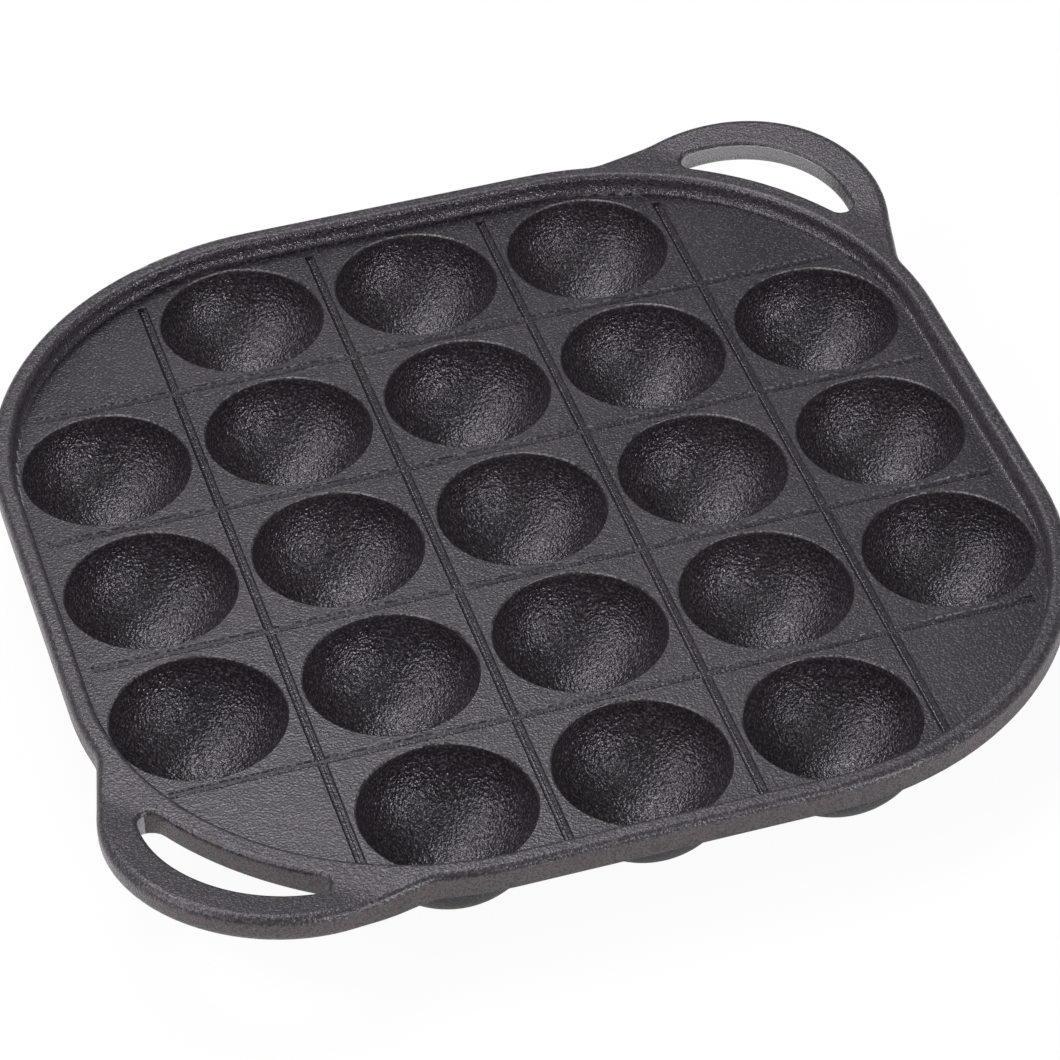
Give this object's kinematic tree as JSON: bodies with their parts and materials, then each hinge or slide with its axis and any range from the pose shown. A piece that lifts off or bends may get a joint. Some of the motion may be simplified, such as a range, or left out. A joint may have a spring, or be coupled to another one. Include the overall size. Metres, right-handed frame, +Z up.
{
  "type": "takoyaki pan",
  "caption": "Cast-iron dumpling pan: a rounded-square plate with a raised rim, half-round cups in a grid, shallow grooves between them and two looped corner handles.",
  "frame": {"origin": "on the surface that the cups stand on, under the middle cup, which is the middle of the pan", "axes": "+Z up, out of the cups; the rows of cups run along X and Y; the two handles lie on the diagonal, at +X +Y and at -X -Y"},
  "size_m": [0.2416, 0.2416, 0.0316],
  "materials": {
    "seasoned_iron": "seasoned, sand-cast grain"
  },
  "bodies": {
    "root": {"pan_plate": "seasoned_iron", "bowl_row1_col2": "seasoned_iron", "bowl_row1_col3": "seasoned_iron", "bowl_row1_col4": "seasoned_iron", "bowl_row2_col1": "seasoned_iron", "bowl_row2_col2": "seasoned_iron", "bowl_row2_col3": "seasoned_iron", "bowl_row2_col4": "seasoned_iron", "bowl_row2_col5": "seasoned_iron", "bowl_row3_col1": "seasoned_iron", "bowl_row3_col2": "seasoned_iron", "bowl_row3_col3": "seasoned_iron", "bowl_row3_col4": "seasoned_iron", "bowl_row3_col5": "seasoned_iron", "bowl_row4_col1": "seasoned_iron", "bowl_row4_col2": "seasoned_iron", "bowl_row4_col3": "seasoned_iron", "bowl_row4_col4": "seasoned_iron", "bowl_row4_col5": "seasoned_iron", "bowl_row5_col2": "seasoned_iron", "bowl_row5_col3": "seasoned_iron", "bowl_row5_col4": "seasoned_iron"}
  },
  "joints": []
}
